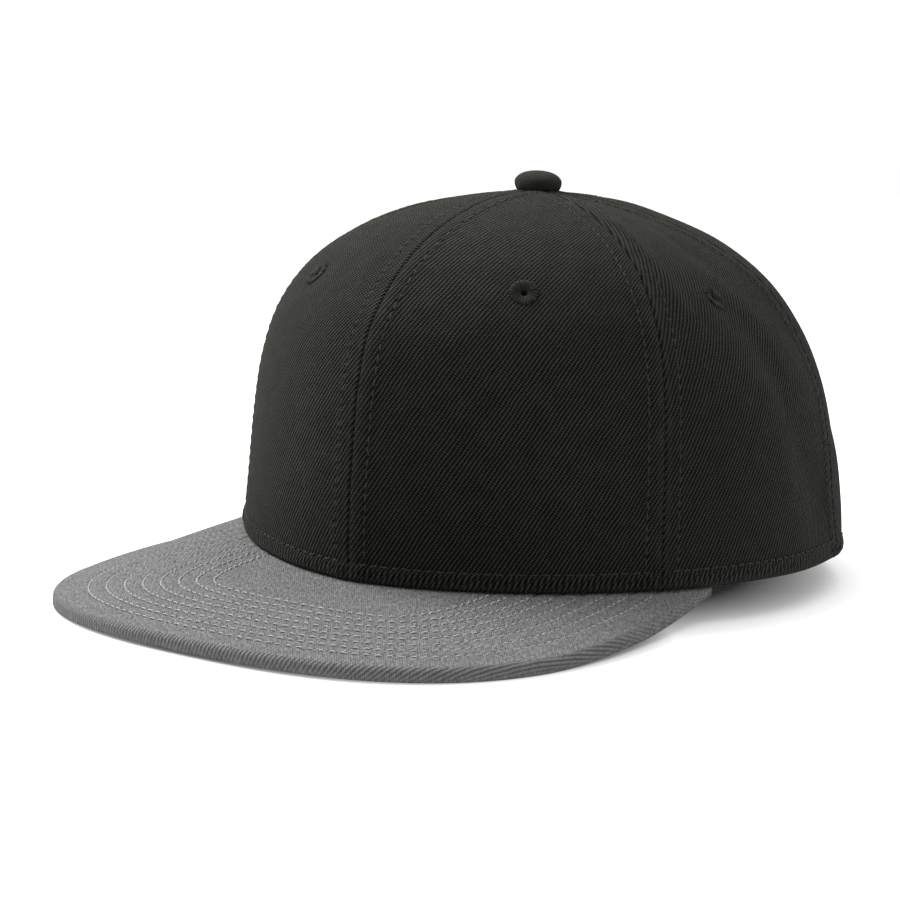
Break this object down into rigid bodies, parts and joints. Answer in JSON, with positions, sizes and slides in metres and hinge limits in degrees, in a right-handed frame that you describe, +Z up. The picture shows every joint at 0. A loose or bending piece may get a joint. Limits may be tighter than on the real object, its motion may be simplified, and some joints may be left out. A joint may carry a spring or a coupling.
{
  "type": "snapback cap",
  "caption": "Structured cap with a panelled crown, sewn eyelets, covered top button, flat stitched brim and a closed back strap across a half-moon opening.",
  "frame": {"origin": "bottom centre of the bounding box, on the surface that the cap lies on", "axes": "+Z up, the brim points towards -Y, the wearer's left is +X"},
  "size_m": [0.1848, 0.2674, 0.1223],
  "materials": {
    "crown_cloth": "matt cotton twill",
    "brim_cloth": "matt cotton twill",
    "thread": "embroidery thread",
    "strap_plastic": "moulded plastic"
  },
  "bodies": {
    "root": {"front_panel_left": "crown_cloth", "front_panel_right": "crown_cloth", "side_panel_left": "crown_cloth", "side_panel_right": "crown_cloth", "back_panel_left": "crown_cloth", "back_panel_right": "crown_cloth", "front_eyelet_left": "thread", "front_eyelet_right": "thread", "side_eyelet_left": "thread", "side_eyelet_right": "thread", "back_eyelet_left": "thread", "back_eyelet_right": "thread", "brim_top": "brim_cloth", "brim_under": "brim_cloth", "button": "crown_cloth", "sweatband": "crown_cloth", "snap_strap": "strap_plastic"}
  },
  "joints": []
}
